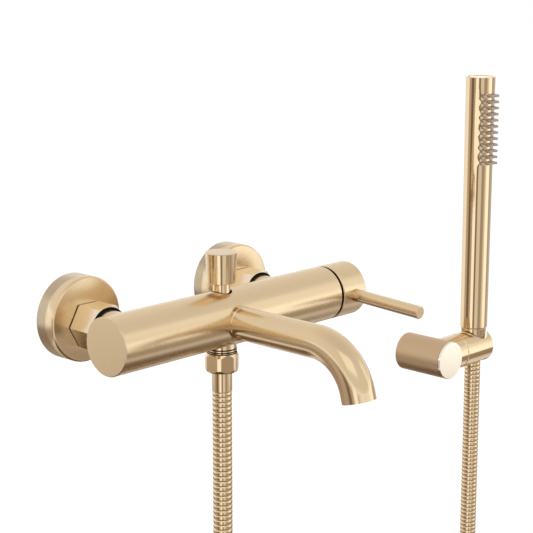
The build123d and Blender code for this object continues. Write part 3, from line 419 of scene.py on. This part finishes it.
# %% The stretch that follows the hand shower
STRETCH = 36.0
THINNER = 0.25
stretch_path = np.array([HOSE_TOP_RIGHT, (*RIGHT_LEG, HOSE_TOP_RIGHT[2] - STRETCH)]) * MM
distances, radii = bead_radii(STRETCH * MM, (HOSE_RADIUS - THINNER) * MM, RIB_PITCH * MM)
stretch = carried_circle("hose_stretch", stretch_path, distances, radii)
stretch.data.materials.append(brass_hose)
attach(stretch, "handset")

# %% [markdown]
# ## Rosettes
# The rosettes are drawn cups whose front isn't flat: past a soft edge it rises gently to the nut, which sits
# on it. Each is a set of circles that are joined up. The circles of the front move down with the hole,
# because the crank behind it lowers the bar by 3 mm.

# %% Domed rosettes
ROSETTE_X = 75.0
ROSETTE_RADIUS, ROSETTE_DEPTH, ROSETTE_WALL, ROSETTE_ROUND = 30.3, 18.0, 1.2, 1.6
DOME_RISE, HOLE_RADIUS, HOLE_DROP = 1.2, 13.5, 3.0
ROSETTE_SIDES, CORNER_CIRCLES, FRONT_CIRCLES = 128, 9, 12


def rosette_rings():
    """Radius, distance out and drop of each circle, from the rim over the front to the hole, and back inside.

    Edge: radius - round (1 - cos a), depth - round (1 - sin a). Front: depth + rise times sin of the way in.
    """
    turn = np.linspace(0.0, 1.0, CORNER_CIRCLES) * math.pi / 2
    radius = ROSETTE_RADIUS - ROSETTE_ROUND * (1 - np.cos(turn))
    out = ROSETTE_DEPTH - ROSETTE_ROUND * (1 - np.sin(turn))
    front = np.linspace(0.0, 1.0, FRONT_CIRCLES + 1)[1:]
    flat = ROSETTE_RADIUS - ROSETTE_ROUND
    front_radius = flat + (HOLE_RADIUS - flat) * front
    front_out = ROSETTE_DEPTH + DOME_RISE * np.sin(front * math.pi / 2)
    outer = np.c_[np.r_[ROSETTE_RADIUS, radius, front_radius], np.r_[0.0, out, front_out],
                  np.r_[np.zeros(CORNER_CIRCLES + 1), HOLE_DROP * front]]
    inner = outer[::-1] - (ROSETTE_WALL, ROSETTE_WALL, 0.0)
    inner[0, 0] = HOLE_RADIUS
    inner[-1, 1] = 0.0
    inner[:, 0] = np.maximum(inner[:, 0], HOLE_RADIUS)
    return np.r_[outer, inner]


def joined_rings(name, rings):
    """A mesh from rings of points whose last ring joins the first."""
    count, sides = rings.shape[:2]
    index = np.arange(count * sides).reshape(count, sides)
    ahead = np.roll(index, -1, 0)
    quads = np.stack([index, np.roll(index, -1, 1), np.roll(ahead, -1, 1), ahead], axis=-1).reshape(-1, 4)
    mesh = bpy.data.meshes.new(name)
    mesh.from_pydata(rings.reshape(-1, 3).tolist(), [], quads.tolist())
    mesh.polygons.foreach_set("use_smooth", np.ones(len(mesh.polygons), bool))
    mesh.update()
    piece = bpy.data.objects.new(name, mesh)
    bpy.context.collection.objects.link(piece)
    return piece


def domed_rosette(name, x):
    """Circles in the wall's plane: (x + r cos a, -out, r sin a - drop)."""
    turn = np.linspace(0, 2 * math.pi, ROSETTE_SIDES, endpoint=False)
    radius, out, drop = rosette_rings().T[:, :, None]
    rings = np.stack([x + radius * np.cos(turn), -out + 0 * turn, radius * np.sin(turn) - drop], axis=2)
    piece = joined_rings(name, rings[::-1] * MM)
    piece.data.materials.append(brass_y)
    return piece


for side, x in (("left", -ROSETTE_X), ("right", ROSETTE_X)):
    rosette = domed_rosette("rosette_" + side + "_domed", x)
    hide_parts("rosette_" + side)
    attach(rosette, "mixer")
print("rosette rings", len(rosette_rings()), "faces", len(rosette.data.polygons))

# %% [markdown]
# ## Painted shade beside the handle
# Between the bar and the handle the photograph shows one black line, the shade in the gap. It is painted as a
# thin black band on the handle's rim. The rim is cut away on the wall's side, so the band is an arc and not a
# full ring.

# %% Painted shade on the handle's rim
BAR_Y, BAR_Z = -75.0, -3.0
GAP_SHADE_PLACES = (108.42, 108.88)
GAP_SHADE_RADII = (17.6, 19.75)
GAP_SHADE_HALF = 100.0


def arc_band(name, places, radii, half_angle, steps=96):
    """A flat band round the bar's axis: its section is a rectangle, its middle faces the room."""
    turn = np.radians(np.linspace(-half_angle, half_angle, steps))
    corners = [(places[0], radii[0]), (places[0], radii[1]), (places[1], radii[1]), (places[1], radii[0])]
    out, up = np.cos(turn), np.sin(turn)
    rings = np.stack([np.stack([np.full(steps, x), BAR_Y - radius * out, BAR_Z + radius * up], axis=1)
                      for x, radius in corners], axis=1)
    return closed_rings(name, rings * MM)


# Painted shade: a black band on the handle's rim stands for the shade in the gap.
gap_shade = arc_band("handle_gap_shade", GAP_SHADE_PLACES, GAP_SHADE_RADII, GAP_SHADE_HALF)
gap_shade.data.polygons.foreach_set("use_smooth", np.zeros(len(gap_shade.data.polygons), bool))
gap_shade.data.materials.append(rubber_and_painted_shade)
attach(gap_shade, "flow")
print("gasket faces", len(gap_shade.data.polygons))

# %% [markdown]
# ## Painted shade in the mouths of the nuts and in the thread
# The photograph shows black in the mouth of each wall nut, and dark grooves in the thread under the bar. Both are
# shade, painted as thin black rings: one round the Y axis on the front of each nut, and three round the Z axis on
# the thread.

# %% Black rings of painted shade in the gaps
MOUTH_OUT, MOUTH_THICK, MOUTH_RADII = 40.52, 0.2, (13.55, 15.5)
THREAD_PLACES, THREAD_THICK, THREAD_RADII = (-23.8, -25.6, -26.9), 0.85, (8.7, 10.6)
RING_SIDES = 96


# Painted shade: each ring is black and stands for the shade in a nut's mouth or in a groove of the thread.
def shade_ring(name, centre, across, along, thick, radii):
    """A ring of rectangular section: centre + r (cos a across[0] + sin a across[1]) + thickness along."""
    turn = np.linspace(0, 2 * math.pi, RING_SIDES, endpoint=False)[:, None]
    circle = np.cos(turn) * np.array(across[0]) + np.sin(turn) * np.array(across[1])
    corners = ((radii[0], 0.0), (radii[1], 0.0), (radii[1], thick), (radii[0], thick))
    rings = np.stack([np.array(centre) + radius * circle + place * np.array(along) for radius, place in corners])
    piece = joined_rings(name, rings * MM)
    piece.data.polygons.foreach_set("use_smooth", np.zeros(len(piece.data.polygons), bool))
    piece.data.materials.append(rubber_and_painted_shade)
    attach(piece, "mixer")
    return piece


AXIS_X, AXIS_Y, AXIS_Z = np.eye(3)
for side, x in (("left", -ROSETTE_X), ("right", ROSETTE_X)):
    shade_ring("nut_mouth_shade_" + side, (x, -MOUTH_OUT, BAR_Z), (AXIS_X, AXIS_Z), -AXIS_Y, MOUTH_THICK, MOUTH_RADII)
for number, place in enumerate(THREAD_PLACES):
    shade_ring("thread_groove_shade_" + str(number), (0.0, BAR_Y, place), (AXIS_Y, AXIS_X), -AXIS_Z,
              THREAD_THICK, THREAD_RADII)

# %% [markdown]
# ## Diverter spring
# The spring sits between the valve and the guide inside the bar. When the knob is pulled up, the valve
# presses it together while its upper end stays. Here it is an even coil of wire that rides with the mixer.

# %% The spring
SPRING_FOOT, SPRING_HEAD = -10.3, 5.4
SPRING_RADIUS, SPRING_WIRE, SPRING_TURNS = 4.6, 0.5, 5
SPRING_STEPS, WIRE_SIDES = 240, 12

turn = np.linspace(0, 2 * math.pi * SPRING_TURNS, SPRING_STEPS)
spring_path = np.stack([SPRING_RADIUS * np.cos(turn), BAR_Y + SPRING_RADIUS * np.sin(turn),
                        np.linspace(SPRING_FOOT, SPRING_HEAD, SPRING_STEPS)], axis=1) * MM
distances = np.r_[0.0, np.cumsum(np.linalg.norm(np.diff(spring_path, axis=0), axis=1))]
spring = carried_circle("pressed_spring", spring_path, distances, np.full(SPRING_STEPS, SPRING_WIRE * MM),
                        WIRE_SIDES, (0.0, 0.0, 1.0))
spring.data.materials.append(steel)
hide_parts("diverter_spring")
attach(spring, "mixer")
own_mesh(spring)

# %% [markdown]
# ## Studio
# The photograph is a cut-out on white. The world is white to the camera, and mostly white to the metal too.
# What gives brushed brass its form is the dark cards that stand round it: one broad band under the horizon,
# with a bright gap in it, and some upright cards, which show as the long stripes on the hand shower.
# HORIZON gives the light by height, from straight down (0) to straight up (1). CARDS gives it by direction,
# once round the object. It holds in a band just under the horizon, and lower down between LOW_CARD_SIDES,
# where the knob's tapered sides look. Behind the object all of it is scaled by BEHIND_LEVEL.

# %% World
HORIZON = ((0.0, 0.12), (0.15, 0.16), (0.172, 0.85), (0.198, 0.85), (0.225, 0.36), (0.35, 0.4),
           (0.42, 0.62), (0.465, 0.8), (0.48, 1.2), (0.575, 1.2), (0.595, 0.8), (0.7, 0.84),
           (0.85, 0.82), (1.0, 0.74))
CARDS = ((0.0, 1.0), (0.115, 1.05), (0.13, 0.55), (0.188, 0.5), (0.194, 0.2), (0.24, 0.2),
         (0.25, 0.5), (0.288, 0.55), (0.296, 1.3), (0.352, 1.3), (0.36, 0.28), (0.392, 0.3),
         (0.402, 0.85), (0.468, 0.85), (0.48, 0.44), (0.535, 0.48), (0.555, 0.8), (0.58, 0.9),
         (0.6, 1.45), (0.668, 1.45), (0.684, 0.5), (0.85, 0.7), (1.0, 1.0))
WARMTH = (1.0, 1.24, 1.46)
CARD_MIDDLE, CARD_INNER, CARD_OUTER = 0.11, 0.13, 0.21
LOW_CARD_FOOT, LOW_CARD_SIDES = (-0.62, -0.52), (0.18, 0.19, 0.53, 0.57)
BEHIND_LEVEL, BEHIND_PLACES = 1.1, (-0.2, 0.6)
WHITE = (1.0, 1.0, 1.0, 1.0)
SKY = ((0.0, 0.45), (0.46, 0.55), (0.60, 0.9), (1.0, 1.0))


def level_ramp(tree, share, levels):
    """A colour ramp of levels at given shares; a level's colour is level ** WARMTH, so dark cards are warm."""
    node = add_node(tree, "ShaderNodeValToRGB", Fac=share)
    elements = node.color_ramp.elements
    elements.remove(elements[1])
    elements[0].position = levels[0][0]
    for place, _ in levels[1:]:
        elements.new(place)
    for element, (_, level) in zip(elements, levels):
        element.color = [*(level ** power if level < 1 else level for power in WARMTH), 1.0]
    return node.outputs["Color"]


world = bpy.data.worlds.new("studio")
bpy.context.scene.world = world
world.use_nodes = True
tree = world.node_tree
tree.nodes.clear()
way = add_node(tree, "ShaderNodeTexCoord").outputs["Generated"]
parts = add_node(tree, "ShaderNodeSeparateXYZ", Vector=way).outputs
height = maths(tree, "MULTIPLY_ADD", parts["Z"], 0.5, 0.5)
turn = maths(tree, "ARCTAN2", parts["X"], maths(tree, "MULTIPLY", parts["Y"], -1.0))
around = maths(tree, "MULTIPLY_ADD", turn, 0.5 / math.pi, 0.5)
off_middle = maths(tree, "ABSOLUTE", maths(tree, "ADD", parts["Z"], CARD_MIDDLE))
carded = add_node(tree, "ShaderNodeMapRange", {"interpolation_type": "SMOOTHSTEP"}, i0=off_middle,
                  i1=CARD_INNER, i2=CARD_OUTER, i3=1.0, i4=0.0).outputs[0]
below = maths(tree, "LESS_THAN", parts["Z"], 0.0)
edges = [add_node(tree, "ShaderNodeMapRange", i0=share, i1=start, i2=end, i3=first, i4=1.0 - first).outputs[0]
         for share, start, end, first in ((parts["Z"], *LOW_CARD_FOOT, 0.0), (around, *LOW_CARD_SIDES[:2], 0.0),
                                          (around, *LOW_CARD_SIDES[2:], 1.0))]
foot_and_side = maths(tree, "MULTIPLY", edges[0], edges[1])
low = maths(tree, "MULTIPLY", foot_and_side, maths(tree, "MULTIPLY", edges[2], below))
carded = maths(tree, "MAXIMUM", carded, low)
mirrored = add_node(tree, "ShaderNodeMix", {"data_type": "RGBA"}, i0=carded, i6=level_ramp(tree, height, HORIZON),
                    i7=level_ramp(tree, around, CARDS)).outputs[2]
behind = add_node(tree, "ShaderNodeMapRange", i0=parts["Y"], i1=BEHIND_PLACES[0], i2=BEHIND_PLACES[1],
                  i3=1.0, i4=BEHIND_LEVEL).outputs[0]
mirrored = add_node(tree, "ShaderNodeVectorMath", {"operation": "SCALE"}, i0=mirrored, i3=behind).outputs[0]
rays = add_node(tree, "ShaderNodeLightPath").outputs
seen = maths(tree, "MAXIMUM", rays["Is Camera Ray"], rays["Is Transmission Ray"])
lit = add_node(tree, "ShaderNodeMix", {"data_type": "RGBA"}, i0=rays["Is Glossy Ray"],
               i6=level_ramp(tree, height, SKY), i7=mirrored).outputs[2]
colour = add_node(tree, "ShaderNodeMix", {"data_type": "RGBA"}, i0=seen, i6=lit, i7=WHITE).outputs[2]
light = add_node(tree, "ShaderNodeBackground", Color=colour, Strength=1.0)
tree.links.new(light.outputs[0], add_node(tree, "ShaderNodeOutputWorld").inputs["Surface"])

# %% [markdown]
# Two weak area lamps add soft light to what isn't metal. The metal gets its form from the world above.

# %% Lamps


def soft_lamp(name, place, target, size, power):
    """A rectangular area lamp that looks at a target."""
    data = bpy.data.lights.new(name, "AREA")
    data.shape = "RECTANGLE"
    data.size, data.size_y = size
    data.energy = power
    lamp = bpy.data.objects.new(name, data)
    lamp.location = place
    toward = np.array(target) - np.array(place)
    lamp.rotation_euler = (math.atan2(math.hypot(toward[0], toward[1]), -toward[2]), 0.0,
                           math.atan2(-toward[0], toward[1]))
    bpy.context.collection.objects.link(lamp)
    return lamp


CENTRE = (0.12, -0.06, 0.0)
LAMPS = (("key", (-0.9, -1.1, 1.3), (1.4, 1.0), 1.6), ("fill", (1.5, -1.3, 0.7), (0.9, 1.2), 1.0))
for name, place, size, power in LAMPS:
    soft_lamp(name, place, CENTRE, size, power)

# %% [markdown]
# A white floor lies below the hose's coil. It glows to the camera, so that it melts into the white world.

# %% Floor
FLOOR_HEIGHT = -0.60
FLOOR_HALF = 4.0
FLOOR_GLOW, FLOOR_GLOW_SHARE = 1.08, 0.8
FLOOR_CORNERS = [(x * FLOOR_HALF, y * FLOOR_HALF, FLOOR_HEIGHT) for x, y in ((-1, -1), (1, -1), (1, 1), (-1, 1))]
floor_mesh = bpy.data.meshes.new("floor")
floor_mesh.from_pydata(FLOOR_CORNERS, [], [(0, 1, 2, 3)])
floor = bpy.data.objects.new("floor", floor_mesh)
bpy.context.collection.objects.link(floor)
floor_material, tree, shader = new_material("floor", Base_Color=(0.92, 0.92, 0.92, 1.0), Roughness=0.9)
rays = add_node(tree, "ShaderNodeLightPath").outputs
glow = add_node(tree, "ShaderNodeEmission", Strength=FLOOR_GLOW)
mix = add_node(tree, "ShaderNodeMixShader", i0=maths(tree, "MULTIPLY", rays["Is Camera Ray"], FLOOR_GLOW_SHARE),
               i1=shader.outputs[0], i2=glow.outputs[0])
tree.links.new(mix.outputs[0], tree.nodes["Material Output"].inputs["Surface"])
floor_mesh.materials.append(floor_material)
floor.visible_glossy = False
